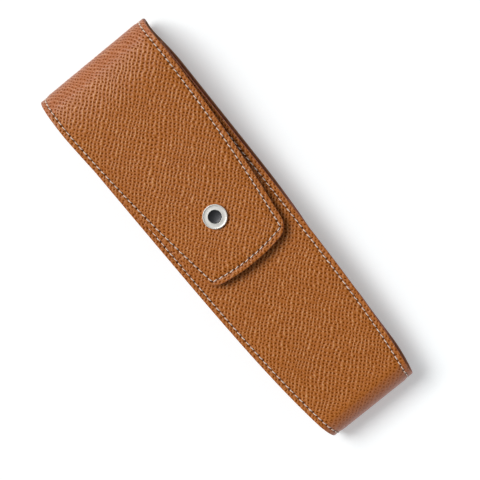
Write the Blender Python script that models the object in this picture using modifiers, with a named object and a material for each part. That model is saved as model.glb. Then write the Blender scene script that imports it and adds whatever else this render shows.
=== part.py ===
# Case for two pens in pressed calf leather, lying on its back with the flap closed. Metres, +Z up.
#
# One strip of leather runs from the mouth down the front, round the bottom fold, up the back, over the
# top end and down the front again as the flap. Every sheet is laid on that one path, at its own depth
# under the outer surface, so the layers keep their gaps wherever the path bends. The leather and its
# lining are cut at the middle of the two top folds, where the flap opens: each hinge lies there, on the
# outer surface, because bent leather that straightens turns about its outside.
# Length runs along Y, with the top end at +Y, and the front faces +Z.

import math

import bmesh
import bpy
from mathutils import Matrix, Vector

# The case seen from the front
case_length = 0.165
top_width = 0.0501
side_taper = 0.0019        # even narrowing of each side from top end to bottom end
end_sweep = 0.0043         # more narrowing of each side, nearly all of it near the bottom end
end_sweep_power = 6
back_inset = 0.0003        # how far each edge of the back stays inside the front's
flap_length = 0.0957       # from the top end to the middle of the flap's end
flap_taper = 0.0074        # narrowing of each side of the flap over its length
flap_corner_radius = 0.0042
flap_end_bow = 0.0021      # how far the middle of the flap's end stands past its corners

# The case seen from the side
mouth_setback = 0.011      # from the top end to the edge of the front panel
mouth_height = 0.0185      # outside height of the front panel at the mouth
bottom_fold_radius = 0.008
back_fold_radius = 0.007
front_fold_radius = 0.010
crown_radius = 0.060       # the flap's long easy bend after the fold
crown_turn = math.radians(12)
flap_crown = 0.0009        # how far the flap's edges droop below its middle
flap_crown_run = 0.024     # length over which that droop begins
waist_rise = 0.006         # how far the edges of the back come up where the case is slimmest
waist_keel = 0.010         # half the width that stays flat there
waist_inset = 0.0006       # extra inset of the back's edges there
waist_start_shares = (0.01, 0.15)   # where the waist begins, along the straight back from the bottom fold
waist_end_shares = (0.34, 0.57)     # where it has gone again

# Layers
leather = 0.0011
board = 0.0004
lining = 0.0006
glue_gap = 0.00015
hinge_gap = 0.0003         # between two lengths of the strip, along the outer surface
edge_round = 0.00035
board_margin = 0.0036      # from the edge of the leather to the edge of a board
board_corner_radius = 0.002
board_setback = 0.004      # from the mouth or a fold to the end of a board

# Side walls and divider
gusset = 0.0006
gusset_setback = 0.0004    # from the edge of the leather to the edge of the gusset's flange
gusset_depth = 0.0045      # how far the side wall lies behind the edges
gusset_bend = 0.0012
gusset_top = 0.0015        # from the mouth down to the top edge of the side wall
gusset_end_turn = math.radians(12)  # the side wall stops this far before the end of the bottom fold
divider = 0.0006
divider_flange = 0.005
divider_bend = 0.0012
divider_setback = 0.006    # from the mouth to the divider
divider_foot = 0.006       # from the bottom fold to the divider

# Ring snap: radii, from the middle outwards
snap_from_end = 0.0221     # from the flap's end back to the middle of the snap
snap_gap = 0.0001          # between metal pieces
seat_gap = 0.00015         # between metal and leather, and round the insert
hole_gap = 0.00015
post_radius = 0.0009
post_flange_radius = 0.0040
stud_neck_radius = 0.0019
stud_head_bulge = 0.00035
stud_flange_radius = 0.0044
head_room = 0.0005
tube_wall = 0.0004
tube_flare = 0.00045
spring_wire_radius = 0.00025
spring_opening = math.radians(40)
socket_wall = 0.0012
insert_radius = 0.00235
insert_ledge = 0.0005
ring_lip = 0.00035
ring_rim = 0.0005
ring_radius = 0.0046

# Ring snap: heights
socket_plate = 0.0003
socket_floor = 0.0003
flare_thickness = 0.0002
stud_flange = 0.0003
stud_head_height = 0.0009
stud_top = 0.00035
insert_thickness = 0.0003
insert_recess = 0.00045
ring_height = 0.0010
ring_dish = 0.00022
ring_floor = 0.0004
edge_break = 0.00015

# How finely curves are drawn
fold_steps = 7             # rows to a quarter turn
turned_steps = 32
front_row_shares = (0, 0.2, 0.4, 0.55, 0.66, 0.75, 0.82, 0.88, 0.94, 1)
upper_back_row_shares = (0.66, 0.82, 1)
column_shares = (0, 0.41, 0.52, 0.63, 0.74, 0.84, 0.92, 1)
flap_column_shares = (0, 0.25, 0.45, 0.62)
corner_turns = 5
flap_row_shares = (0.12, 0.25, 0.38, 0.5, 0.62, 0.72, 0.82, 0.91, 1)
overrun = 0.002            # how far a cutter reaches past what it cuts

stack = leather + board + lining + 2 * glue_gap
lining_depth = stack - lining
wall_depth = stack + glue_gap
board_depth = leather + glue_gap
half_length = case_length / 2
half_turn = math.pi
quarter_turn = math.pi / 2

# Radii of the snap that follow from those above
stud_head_radius = stud_neck_radius + stud_head_bulge
tube_inner_radius = stud_head_radius + head_room
tube_outer_radius = tube_inner_radius + tube_wall
flare_radius = tube_outer_radius + tube_flare
spring_radius = stud_head_radius + snap_gap + spring_wire_radius
cavity_radius = max(flare_radius, spring_radius + spring_wire_radius) + snap_gap
socket_radius = cavity_radius + socket_wall
socket_mouth_radius = stud_head_radius + 2 * seat_gap
flap_hole_radius = tube_outer_radius + hole_gap
stud_hole_radius = post_radius + hole_gap

# Heights of the snap, along its axis from the flap's outer surface
socket_top = -stack - seat_gap
plate_bottom = socket_top - socket_plate
flare_top = plate_bottom - snap_gap
flare_bottom = flare_top - flare_thickness
spring_level = flare_bottom - snap_gap - spring_wire_radius
floor_top = spring_level - spring_wire_radius - snap_gap
socket_bottom = floor_top - socket_floor
stud_flange_top = socket_bottom - 2 * snap_gap
stud_base = stud_flange_top - stud_flange
front_level = stud_base - seat_gap
flap_gap = -stack - front_level
post_flange_top = front_level - leather - glue_gap
post_flange_bottom = post_flange_top - board
head_base = flare_bottom
head_top = head_base + stud_head_height


# The path of the outer surface, seen from the side: a list of straight lines and arcs. A point on it has
# a place (y, z) and the angle of its outward normal, which only grows from the mouth to the flap's end.

def normal_at(angle):
    return Vector((0, math.cos(angle), math.sin(angle)))


def along_at(angle):
    return Vector((0, -math.sin(angle), math.cos(angle)))


mouth = Vector((0, half_length - mouth_setback, mouth_height))
bottom_centre = Vector((0, -half_length + bottom_fold_radius, bottom_fold_radius))
mouth_reach = mouth - bottom_centre
front_slope = math.acos(bottom_fold_radius / mouth_reach.length) - math.atan2(mouth_reach.y, mouth_reach.z)
front_angle = quarter_turn + front_slope
front_run = -mouth_reach.dot(along_at(front_angle))
back_run = case_length - bottom_fold_radius - back_fold_radius

# The height of the top fold follows from the flap, which lies parallel to the front panel
fold_angle = quarter_turn - crown_turn
low_centre = Vector((0, half_length - front_fold_radius, 0))
crown_centre = low_centre - (crown_radius - front_fold_radius) * normal_at(fold_angle)
crown_end = crown_centre + crown_radius * normal_at(front_angle)
short_by = stack + flap_gap - (crown_end - mouth).dot(normal_at(front_angle))
fold_height = short_by / math.cos(front_slope)
spine_run = fold_height - back_fold_radius
flap_run = (crown_end.y - half_length + flap_length) / math.cos(front_slope)

segments = (
    ("front", front_run, 0),
    ("bottom_fold", bottom_fold_radius, half_turn - front_slope),
    ("back", back_run, 0),
    ("back_fold", back_fold_radius, quarter_turn),
    ("spine", spine_run, 0),
    ("front_fold", front_fold_radius, fold_angle),
    ("crown", crown_radius, crown_turn + front_slope),
    ("flap", flap_run, 0),
)


def lay_path():
    # Each entry: name, where it starts along the path, its length, start point, start angle, turn, radius
    laid = {}
    run, point, angle = 0, mouth.copy(), front_angle
    for name, size, turn in segments:
        length = size * turn if turn else size
        laid[name] = (run, length, point.copy(), angle, turn, size)
        if turn:
            point += size * (normal_at(angle + turn) - normal_at(angle))
        else:
            point += size * along_at(angle)
        run += length
        angle += turn
    return laid


path = lay_path()


def start_of(name):
    return path[name][0]


def end_of(name):
    return path[name][0] + path[name][1]


def share_of(name, share):
    return path[name][0] + path[name][1] * share


def path_point(run):
    for start, length, point, angle, turn, size in path.values():
        if run <= start + length:
            break
    past = run - start
    if turn:
        return point + size * (normal_at(angle + past / size) - normal_at(angle)), angle + past / size
    return point + past * along_at(angle), angle


back_cut = share_of("back_fold", 1 / 2)
front_cut = start_of("front_fold") + front_fold_radius * quarter_turn / 2
spine_middle = share_of("spine", 1 / 2)
flap_end = end_of("flap")


def smooth(share):
    share = min(max(share, 0), 1)
    return share * share * (3 - 2 * share)


def between(value, low, high):
    return (value - low) / (high - low)


def waist_at(run):
    share = between(run, start_of("back"), end_of("back"))
    begun = smooth(between(share, *waist_start_shares))
    return begun * (1 - smooth(between(share, *waist_end_shares)))


def half_width(run):
    from_top = half_length - path_point(run)[0].y
    if run > spine_middle:
        return top_width / 2 - flap_taper * (from_top / flap_length) ** 2
    down = from_top / case_length
    front = top_width / 2 - side_taper * down - end_sweep * down**end_sweep_power
    on_back = smooth(between(run, start_of("bottom_fold"), end_of("bottom_fold")))
    on_back *= 1 - smooth(between(run, start_of("back_fold"), end_of("back_fold")))
    return front - back_inset * on_back - waist_inset * waist_at(run)


def droop(run, x):
    # How far the surface lies inside the path: the waist of the back, and the crown of the flap
    edge = half_width(run)
    if run > spine_middle:
        begun = smooth(between(run, front_cut, start_of("crown") + flap_crown_run))
        return flap_crown * begun * (x / edge) ** 2
    past_keel = max(abs(x) - waist_keel, 0) / (edge - waist_keel)
    return waist_rise * waist_at(run) * past_keel**2


def outer_point(run, x):
    point, angle = path_point(run)
    return point + Vector((x, 0, 0)) - droop(run, x) * normal_at(angle)


def sheet_point(run, x, depth):
    # The point at this depth under the outer surface, square to it
    probe = case_length / 1e4
    along = outer_point(run + probe, x) - outer_point(run - probe, x)
    across = outer_point(run, x + probe) - outer_point(run, x - probe)
    return outer_point(run, x) - depth * along.cross(across).normalized()


# Scene, materials and the two kinds of sheet

for old in list(bpy.data.objects):
    bpy.data.objects.remove(old)

case = bpy.data.collections.new("pen_case")
cutters = bpy.data.collections.new("cutters")
bpy.context.scene.collection.children.link(case)
bpy.context.scene.collection.children.link(cutters)


def make_material(name, colour, roughness, metallic=0):
    material = bpy.data.materials.new(name)
    material.use_nodes = True
    shader = material.node_tree.nodes["Principled BSDF"]
    shader.inputs["Base Color"].default_value = (*colour, 1)
    shader.inputs["Roughness"].default_value = roughness
    shader.inputs["Metallic"].default_value = metallic
    return material


calf = make_material("pressed_calf_leather", (0.35, 0.13, 0.036), 0.55)
lining_calf = make_material("smooth_lining_leather", (0.23, 0.095, 0.035), 0.7)
greyboard = make_material("stiffening_board", (0.42, 0.36, 0.27), 0.9)
plated = make_material("plated_ring", (0.78, 0.77, 0.75), 0.25, 1)
dark_metal = make_material("blackened_centre", (0.06, 0.06, 0.065), 0.4, 1)
snap_brass = make_material("snap_brass", (0.72, 0.55, 0.28), 0.35, 1)
spring_steel = make_material("spring_steel", (0.55, 0.55, 0.56), 0.3, 1)


def add_object(name, mesh, material):
    obj = bpy.data.objects.new(name, mesh)
    case.objects.link(obj)
    mesh.materials.append(material)
    return obj


def grid_mesh(name, row_count, column_count, place):
    # A grid whose vertex in row r and column c is moved to place(r, c)
    mesh = bpy.data.meshes.new(name)
    flat = bmesh.new()
    bmesh.ops.create_grid(flat, x_segments=column_count - 1, y_segments=row_count - 1, size=1)
    for vertex in flat.verts:
        column = round((1 - vertex.co.x) / 2 * (column_count - 1))
        row = round((1 + vertex.co.y) / 2 * (row_count - 1))
        vertex.co = place(row, column)
    flat.to_mesh(mesh)
    flat.free()
    mesh.shade_smooth()
    return mesh


def thicken(obj, thickness, rounding=0):
    solidify = obj.modifiers.new("thickness", "SOLIDIFY")
    solidify.thickness = thickness
    solidify.offset = -1
    solidify.use_even_offset = True
    if rounding:
        bevel = obj.modifiers.new("rounded_edges", "BEVEL")
        bevel.width = rounding
        bevel.segments = 2
        bevel.limit_method = "ANGLE"
        bevel.angle_limit = quarter_turn * 2 / 3


def strip(name, rows, columns, place, depth, thickness, material, rounding=0):
    # A sheet along the path: place(run, share) gives the run and the x of each corner of the grid
    def corner(row, column):
        run, x = place(rows[row], columns[column])
        return sheet_point(run, x, depth)

    obj = add_object(name, grid_mesh(name, len(rows), len(columns), corner), material)
    thicken(obj, thickness, rounding)
    return obj


def mirrored(shares):
    return [-share for share in reversed(shares) if share] + list(shares)


def spread(start, end, count):
    return [start + (end - start) * step / count for step in range(count + 1)]


def joined(*lists):
    # Lists that each start where the one before ends, as one list
    return sorted({round(value, 9) for values in lists for value in values})


# Rows of the body's strip, from the mouth round the bottom fold to the middle of the back fold

front_rows = [share_of("front", share) for share in front_row_shares]
fold_rows = spread(start_of("bottom_fold"), end_of("bottom_fold"), 2 * fold_steps)
waist_share_rows = joined(
    (0, waist_start_shares[0]),
    spread(*waist_start_shares, fold_steps),
    (sum((waist_start_shares[1], waist_end_shares[0])) / 2,),
    spread(*waist_end_shares, fold_steps),
    upper_back_row_shares,
)
back_rows = [share_of("back", share) for share in waist_share_rows]
back_fold_rows = spread(start_of("back_fold"), back_cut - hinge_gap / 2, fold_steps // 2 + 1)
body_rows = joined(front_rows, fold_rows, back_rows, back_fold_rows)
columns = mirrored(column_shares)


def body_place(run, share):
    return run, share * half_width(run)


def board_place(run, share):
    return run, share * (half_width(run) - board_margin)


def clipped(rows, low, high):
    return joined((low, high), [run for run in rows if low < run < high])


outer_wrap = strip("outer_wrap", body_rows, columns, body_place, 0, leather, calf, edge_round)
lining_wrap = strip("lining_wrap", body_rows, columns, body_place, lining_depth, lining, lining_calf)
front_board_rows = clipped(front_rows, board_setback, end_of("front") - board_setback)
front_board = strip("front_board", front_board_rows, columns, board_place, board_depth, board, greyboard)
back_board_rows = clipped(back_rows, start_of("back") + board_setback, end_of("back") - board_setback)
back_board = strip("back_board", back_board_rows, columns, board_place, board_depth, board, greyboard)


# Spine: from the middle of the back fold to the middle of the front fold

spine_rows = joined(
    spread(back_cut + hinge_gap / 2, end_of("back_fold"), fold_steps // 2 + 1),
    spread(start_of("front_fold"), front_cut - hinge_gap / 2, fold_steps // 2 + 1),
)
spine_columns = (-1, 1)
spine_outer = strip("spine_outer", spine_rows, spine_columns, body_place, 0, leather, calf)
spine_lining = strip("spine_lining", spine_rows, spine_columns, body_place, lining_depth, lining, lining_calf)


# Flap: from the middle of the front fold to its bowed end with two round corners

def flap_shape(inset, corner_radius):
    # Returns the columns and a place() for a flap outline that lies this far inside the leather's edge
    end_half_width = half_width(flap_end) - inset
    corner_share = corner_radius / end_half_width
    turns = spread(0, quarter_turn, corner_turns)
    corner_columns = [1 - corner_share + corner_share * math.sin(turn) for turn in turns]
    bend_start = flap_end - flap_run / 3

    def place(run, share):
        into_corner = max(abs(share) - 1 + corner_share, 0) / corner_share
        back_off = flap_end_bow * share**2 + inset
        back_off += corner_radius * (1 - math.sqrt(max(1 - into_corner**2, 0)))
        moved = run - back_off * max(between(run, bend_start, flap_end), 0)
        return moved, share * (half_width(moved) - inset)

    return mirrored(list(flap_column_shares) + corner_columns), place


flap_rows = joined(
    spread(front_cut + hinge_gap / 2, end_of("front_fold"), fold_steps // 2 + 1),
    spread(start_of("crown"), end_of("crown"), fold_steps // 2),
    [share_of("flap", share) for share in flap_row_shares],
)
flap_board_start = start_of("flap") + board_setback
flap_board_rows = clipped(flap_rows, flap_board_start, flap_end)
flap_columns, flap_place = flap_shape(0, flap_corner_radius)
flap_board_columns, flap_board_place = flap_shape(board_margin, board_corner_radius)
flap_outer = strip("flap_outer", flap_rows, flap_columns, flap_place, 0, leather, calf, edge_round)
flap_lining = strip("flap_lining", flap_rows, flap_columns, flap_place, lining_depth, lining, lining_calf)
flap_board = strip(
    "flap_board", flap_board_rows, flap_board_columns, flap_board_place, board_depth, board, greyboard
)


# Side walls and divider: channels whose two flanges lie on the linings of front and back

def eased_corner(before, corner, after, bend):
    # A square corner drawn as a short curve that starts and ends at the length bend from it
    start = corner + (before - corner).normalized() * bend
    end = corner + (after - corner).normalized() * bend
    return [start.lerp(corner, share).lerp(corner.lerp(end, share), share) for share in (0, 1 / 3, 2 / 3, 1)]


def channel(name, row_pairs, side, wall_x, flange_x, thickness, bend, material):
    # row_pairs: the run on the front and on the back of each row. wall_x, flange_x: x for the two runs
    sections = []
    for front, back in row_pairs:
        wall = wall_x(front, back)
        front_edge = sheet_point(front, side * flange_x(front), wall_depth)
        front_corner = sheet_point(front, side * wall, wall_depth)
        back_corner = sheet_point(back, side * wall, wall_depth)
        back_edge = sheet_point(back, side * flange_x(back), wall_depth)
        front_middle = sheet_point(front, side * (wall + flange_x(front)) / 2, wall_depth)
        back_middle = sheet_point(back, side * (wall + flange_x(back)) / 2, wall_depth)
        fit = min(bend, (front_corner - back_corner).length / 3)
        section = [front_edge, front_middle]
        section += eased_corner(front_middle, front_corner, back_corner, fit)
        section.append((front_corner + back_corner) / 2)
        section += eased_corner(front_corner, back_corner, back_middle, fit)
        section += [back_middle, back_edge]
        sections.append(section)
    if side > 0:
        sections = [section[::-1] for section in sections]
    mesh = grid_mesh(name, len(sections), len(sections[0]), lambda row, column: sections[row][column])
    obj = add_object(name, mesh, material)
    thicken(obj, thickness)
    return obj


def facing_run(run):
    # The run on the back that lies behind this run on the front, or behind it in the bottom fold
    fold_start = start_of("bottom_fold")
    if run <= fold_start:
        return share_of("back", (fold_start - run) / back_run)
    turned = (run - fold_start) / bottom_fold_radius * half_turn / (half_turn - front_slope)
    return end_of("bottom_fold") - min(turned, half_turn) * bottom_fold_radius


def gusset_wall(front, back):
    return min(half_width(front), half_width(back)) - gusset_depth


def gusset_flange(run):
    return half_width(run) - gusset_setback


gusset_last = start_of("bottom_fold") + bottom_fold_radius * (quarter_turn - gusset_end_turn)
facing_rows = [start_of("bottom_fold") - back_run * share for share in waist_share_rows]
gusset_fronts = joined(
    clipped(facing_rows, gusset_top, start_of("bottom_fold")),
    spread(start_of("bottom_fold"), gusset_last, fold_steps),
)
gusset_pairs = [(run, facing_run(run)) for run in gusset_fronts]
for gusset_name, gusset_side in (("left_gusset", -1), ("right_gusset", 1)):
    channel(gusset_name, gusset_pairs, gusset_side, gusset_wall, gusset_flange, gusset, gusset_bend, calf)

divider_fronts = spread(divider_setback, end_of("front") - divider_foot, 2)
divider_pairs = [(run, facing_run(run)) for run in divider_fronts]
pen_divider = channel(
    "pen_divider", divider_pairs, 1, lambda front, back: -divider / 2, lambda run: divider_flange,
    divider, divider_bend, lining_calf,
)


# Ring snap. Its pieces stand on one axis, square to the flap, with height 0 on the flap's outer surface

snap_run = flap_end - snap_from_end / math.cos(front_slope)
snap_place = Matrix.Translation(outer_point(snap_run, 0)) @ Matrix.Rotation(front_slope, 4, "X")


def turned(name, profile, material):
    # profile: (radius, height) pairs that run down the outside and back up the inside
    mesh = bpy.data.meshes.new(name)
    outline = bmesh.new()
    points = [outline.verts.new((radius, 0, height)) for radius, height in profile]
    for first, second in zip(points, points[1:] + points[:1]):
        if first.co.x or second.co.x:
            outline.edges.new((first, second))
    outline.to_mesh(mesh)
    outline.free()
    obj = add_object(name, mesh, material)
    obj.matrix_world = snap_place
    screw = obj.modifiers.new("turned", "SCREW")
    screw.steps = turned_steps
    screw.render_steps = turned_steps
    screw.use_merge_vertices = True
    screw.merge_threshold = 1e-6
    screw.use_smooth_shade = True
    return obj


def bore(name, radius, low, high, target):
    # A round hole along the snap's axis from height low to height high
    bpy.ops.mesh.primitive_cylinder_add(vertices=turned_steps, radius=radius, depth=high - low)
    cutter = bpy.context.object
    cutter.name = name
    cutter.matrix_world = snap_place @ Matrix.Translation((0, 0, (low + high) / 2))
    cutter.hide_render = True
    cutter.display_type = "WIRE"
    for holder in cutter.users_collection:
        holder.objects.unlink(cutter)
    cutters.objects.link(cutter)
    for obj in target:
        cut = obj.modifiers.new(name, "BOOLEAN")
        cut.operation = "DIFFERENCE"
        cut.object = cutter


bore("tube_hole", flap_hole_radius, -stack - overrun, overrun, (flap_outer, flap_board, flap_lining))
bore("post_hole", stud_hole_radius, front_level - board_depth, front_level + overrun, (outer_wrap,))
bore(
    "post_flange_recess", post_flange_radius + 2 * hole_gap, front_level - stack, front_level - leather,
    (front_board,),
)

insert_seat = ring_height - insert_recess - insert_thickness - seat_gap
lip_radius = insert_radius + seat_gap
dish_level = ring_height - ring_dish
snap_ring = turned("snap_ring", (
    (ring_radius - ring_rim * 3 / 4, ring_height),
    (ring_radius - edge_break, ring_height - edge_break),
    (ring_radius, ring_height - 3 * edge_break),
    (ring_radius, seat_gap),
    (tube_outer_radius, seat_gap),
    (tube_outer_radius, flare_top),
    (flare_radius, flare_top),
    (flare_radius, flare_bottom),
    (tube_inner_radius, flare_bottom),
    (tube_inner_radius, insert_seat - ring_floor),
    (lip_radius - insert_ledge, insert_seat - ring_floor),
    (lip_radius - insert_ledge, insert_seat),
    (lip_radius, insert_seat),
    (lip_radius, ring_height - edge_break),
    (lip_radius + edge_break, ring_height),
    (lip_radius + ring_lip, ring_height),
    (lip_radius + 2 * ring_lip, dish_level),
    (ring_radius - 2 * ring_rim, dish_level),
), plated)

insert_bottom = insert_seat + seat_gap
insert_top = insert_bottom + insert_thickness
ring_insert = turned("ring_insert", (
    (0, insert_top),
    (insert_radius - edge_break, insert_top),
    (insert_radius, insert_top - edge_break / 2),
    (insert_radius, insert_bottom),
    (0, insert_bottom),
), dark_metal)

snap_socket = turned("snap_socket", (
    (socket_radius - edge_break, socket_top),
    (socket_radius, socket_top - edge_break),
    (socket_radius, (socket_top + socket_bottom) / 2),
    (socket_radius - edge_break, socket_bottom + 2 * edge_break),
    (socket_radius - 3 * edge_break, socket_bottom),
    (socket_mouth_radius + edge_break, socket_bottom),
    (socket_mouth_radius, socket_bottom + edge_break),
    (socket_mouth_radius, floor_top),
    (cavity_radius, floor_top),
    (cavity_radius, plate_bottom),
    (tube_outer_radius + hole_gap, plate_bottom),
    (tube_outer_radius + hole_gap, socket_top),
), snap_brass)

snap_stud = turned("snap_stud", (
    (stud_hole_radius, head_top),
    (stud_neck_radius, head_top),
    (stud_head_radius, head_top - stud_head_height / 3),
    (stud_head_radius, head_base + stud_head_height / 3),
    (stud_neck_radius, head_base),
    (stud_neck_radius, stud_flange_top + edge_break),
    (stud_neck_radius + edge_break, stud_flange_top),
    (stud_flange_radius - edge_break, stud_flange_top),
    (stud_flange_radius, stud_base + edge_break),
    (stud_flange_radius, stud_base),
    (stud_hole_radius, stud_base),
), snap_brass)

post_top = head_top - stud_top
stud_post = turned("stud_post", (
    (0, post_top),
    (post_radius - edge_break, post_top),
    (post_radius, post_top - edge_break),
    (post_radius, post_flange_top),
    (post_flange_radius, post_flange_top),
    (post_flange_radius, post_flange_bottom),
    (0, post_flange_bottom),
), snap_brass)


# The socket's spring: a ring of wire with an opening, loose round the stud's neck

def spring_ring():
    curve = bpy.data.curves.new("socket_spring", "CURVE")
    curve.dimensions = "3D"
    curve.bevel_depth = spring_wire_radius
    curve.bevel_resolution = 2
    curve.use_fill_caps = True
    turns = spread(spring_opening / 2, 2 * half_turn - spring_opening / 2, turned_steps - fold_steps)
    wire = curve.splines.new("POLY")
    wire.points.add(len(turns) - 1)
    for point, turn in zip(wire.points, turns):
        point.co = (spring_radius * math.cos(turn), spring_radius * math.sin(turn), spring_level, 1)
    obj = bpy.data.objects.new("socket_spring", curve)
    case.objects.link(obj)
    curve.materials.append(spring_steel)
    obj.matrix_world = snap_place
    return obj


socket_spring = spring_ring()


# Hinges: an empty on each joint's axis carries the pieces that turn about it

hinge_runs = {"spine_hinge": back_cut, "flap_hinge": front_cut}


def hinge(name, parent=None):
    empty = bpy.data.objects.new(name, None)
    case.objects.link(empty)
    empty.location = outer_point(hinge_runs[name], 0)
    empty.empty_display_size = hinge_gap
    if parent:
        carry(parent, (empty,))
    return empty


def carry(parent, pieces):
    for piece in pieces:
        piece.parent = parent
        piece.matrix_parent_inverse = Matrix.Translation(-outer_point(hinge_runs[parent.name], 0))


spine_hinge = hinge("spine_hinge")
flap_hinge = hinge("flap_hinge", spine_hinge)
carry(spine_hinge, (spine_outer, spine_lining))
carry(flap_hinge, (flap_outer, flap_lining, flap_board, snap_ring, ring_insert, snap_socket, socket_spring))

for label, run in (("spine hinge", back_cut), ("flap hinge", front_cut), ("snap", snap_run)):
    print(label, [round(value, 6) for value in outer_point(run, 0)])
print("front slope in degrees", round(math.degrees(front_slope), 3), "flap gap", round(flap_gap, 6))
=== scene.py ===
from functools import partial
from math import acos, atan2, cos, pi, radians, sin, sqrt

import bpy
import numpy as np
from mathutils import Matrix, Vector


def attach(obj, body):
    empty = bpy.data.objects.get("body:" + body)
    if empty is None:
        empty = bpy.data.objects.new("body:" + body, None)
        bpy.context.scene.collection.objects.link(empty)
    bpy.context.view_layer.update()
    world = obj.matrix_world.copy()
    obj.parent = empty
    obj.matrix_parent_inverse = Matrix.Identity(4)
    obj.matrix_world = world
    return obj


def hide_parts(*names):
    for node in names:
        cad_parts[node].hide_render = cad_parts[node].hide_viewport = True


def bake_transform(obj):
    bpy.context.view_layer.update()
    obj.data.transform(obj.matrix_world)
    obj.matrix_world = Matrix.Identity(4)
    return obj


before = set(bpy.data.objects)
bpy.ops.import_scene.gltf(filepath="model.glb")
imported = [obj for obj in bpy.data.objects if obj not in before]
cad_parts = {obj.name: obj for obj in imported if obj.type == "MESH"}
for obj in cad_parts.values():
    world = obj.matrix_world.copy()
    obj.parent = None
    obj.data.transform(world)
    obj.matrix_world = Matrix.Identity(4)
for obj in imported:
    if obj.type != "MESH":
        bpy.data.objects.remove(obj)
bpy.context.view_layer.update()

mm = 0.001

# The case lies on its back with the top end at +Y. One strip of leather runs from the mouth down the
# front, round the bottom fold, up the back, over the top end and down again as the flap. "run" is the
# way along that strip from the mouth, x the way across it. These sizes are the frame's own, in metres.
case = {
    "length": 0.165, "topWidth": 0.0501, "sideTaper": 0.0019, "endSweep": 0.0043, "sweepPower": 6,
    "backInset": 0.0003, "topNip": 0.00085, "nipRun": (0.022, 0.002), "topDraw": 0.0005, "drawRun": 0.018,
    "mouthSetback": 0.011, "mouthHeight": 0.0185,
    "bottomFold": 0.008, "backFold": 0.007, "frontFold": 0.010, "crownRadius": 0.060, "crownTurn": 12,
    # Where the back's edges curl up and draw in, as shares of the back's length
    "waistRise": 0.006, "waistKeel": 0.010, "waistStart": (0.01, 0.15), "waistEnd": (0.34, 0.57),
    "waistInset": 0.0004, "insetStart": (0.17, 0.24), "insetEnd": (0.36, 0.45),
}
flap = {
    "length": 0.0957, "taper": 0.0074, "cornerRadius": 0.0042, "endBow": 0.0021,
    "crown": 0.0009, "crownRun": 0.024, "gap": 0.0024, "snapFromEnd": 0.0221,
}
layers = {"leather": 0.0011, "board": 0.0004, "lining": 0.0006, "glue": 0.00015, "gusset": 0.0006}
stack = layers["leather"] + layers["board"] + layers["lining"] + 2 * layers["glue"]


# Path of the strip's outer surface, seen from the side: straight lines and arcs

def normalAt(angle):
    return np.stack([np.zeros_like(angle), np.cos(angle), np.sin(angle)], axis=-1)


def alongAt(angle):
    return np.stack([np.zeros_like(angle), -np.sin(angle), np.cos(angle)], axis=-1)


def layPath():
    half, bottom = case["length"] / 2, case["bottomFold"]
    mouth = np.array([0, half - case["mouthSetback"], case["mouthHeight"]])
    reach = mouth - np.array([0, bottom - half, bottom])
    slope = acos(bottom / np.linalg.norm(reach)) - atan2(reach[1], reach[2])
    frontAngle = np.array(pi / 2 + slope)
    crownTurn = radians(case["crownTurn"])
    foldAngle = pi / 2 - crownTurn
    crown, fold = case["crownRadius"], case["frontFold"]
    crownCentre = np.array([0, half - fold, 0]) - (crown - fold) * normalAt(np.array(foldAngle))
    crownEnd = crownCentre + crown * normalAt(frontAngle)
    shortBy = stack + flap["gap"] - (crownEnd - mouth) @ normalAt(frontAngle)
    flapRun = (crownEnd[1] - half + flap["length"]) / cos(slope)
    segments = [
        ("front", -reach @ alongAt(frontAngle), 0),
        ("bottomFold", bottom, pi - slope),
        ("back", case["length"] - bottom - case["backFold"], 0),
        ("backFold", case["backFold"], pi / 2),
        ("spine", shortBy / cos(slope) - case["backFold"], 0),
        ("frontFold", fold, foldAngle),
        ("crown", crown, crownTurn + slope),
        ("flap", flapRun, 0),
    ]
    laid, run, point, angle = {}, 0.0, mouth, frontAngle
    for name, size, turn in segments:
        length, radius = (size * turn, size) if turn else (size, 0)
        laid[name] = {"start": run, "end": run + length, "point": point, "angle": angle, "radius": radius}
        point = point + size * (normalAt(angle + turn) - normalAt(angle) if turn else alongAt(angle))
        run, angle = run + length, angle + turn
    return laid, slope


path, frontSlope = layPath()
segmentStarts, segmentPoints, segmentAngles, segmentRadii = (
    np.array([part[key] for part in path.values()]) for key in ("start", "point", "angle", "radius")
)
flapEnd = path["flap"]["end"]
bottomStart, bottomEnd = path["bottomFold"]["start"], path["bottomFold"]["end"]
bottomMiddle = (bottomStart + bottomEnd) / 2
spineMiddle = (path["spine"]["start"] + path["spine"]["end"]) / 2
snapRun = flapEnd - flap["snapFromEnd"] / cos(frontSlope)


def pathPoints(run):
    index = np.clip(np.searchsorted(segmentStarts, run, side="right") - 1, 0, len(segmentStarts) - 1)
    past, radius, start = run - segmentStarts[index], segmentRadii[index], segmentAngles[index]
    bends = radius > 0
    angle = start + np.where(bends, past / np.where(bends, radius, 1), 0)
    onArc = radius[..., None] * (normalAt(angle) - normalAt(start))
    onLine = past[..., None] * alongAt(start)
    return segmentPoints[index] + np.where(bends[..., None], onArc, onLine), angle


def smooth(share):
    share = np.clip(share, 0, 1)
    return share * share * (3 - 2 * share)


def between(value, low, high):
    return (value - low) / (high - low)


def fade(least, share):
    # From least at share 0 to 1 at share 1
    return least + (1 - least) * share


def bell(away):
    return np.exp(-away ** 2)


def onPart(run, name):
    return between(run, path[name]["start"], path[name]["end"])


def onStretch(run, start, end):
    # 1 on the stretch of the back between start and end, two pairs of shares of its length, and 0 off it
    share = onPart(run, "back")
    return smooth(between(share, *start)) * (1 - smooth(between(share, *end)))


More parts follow.
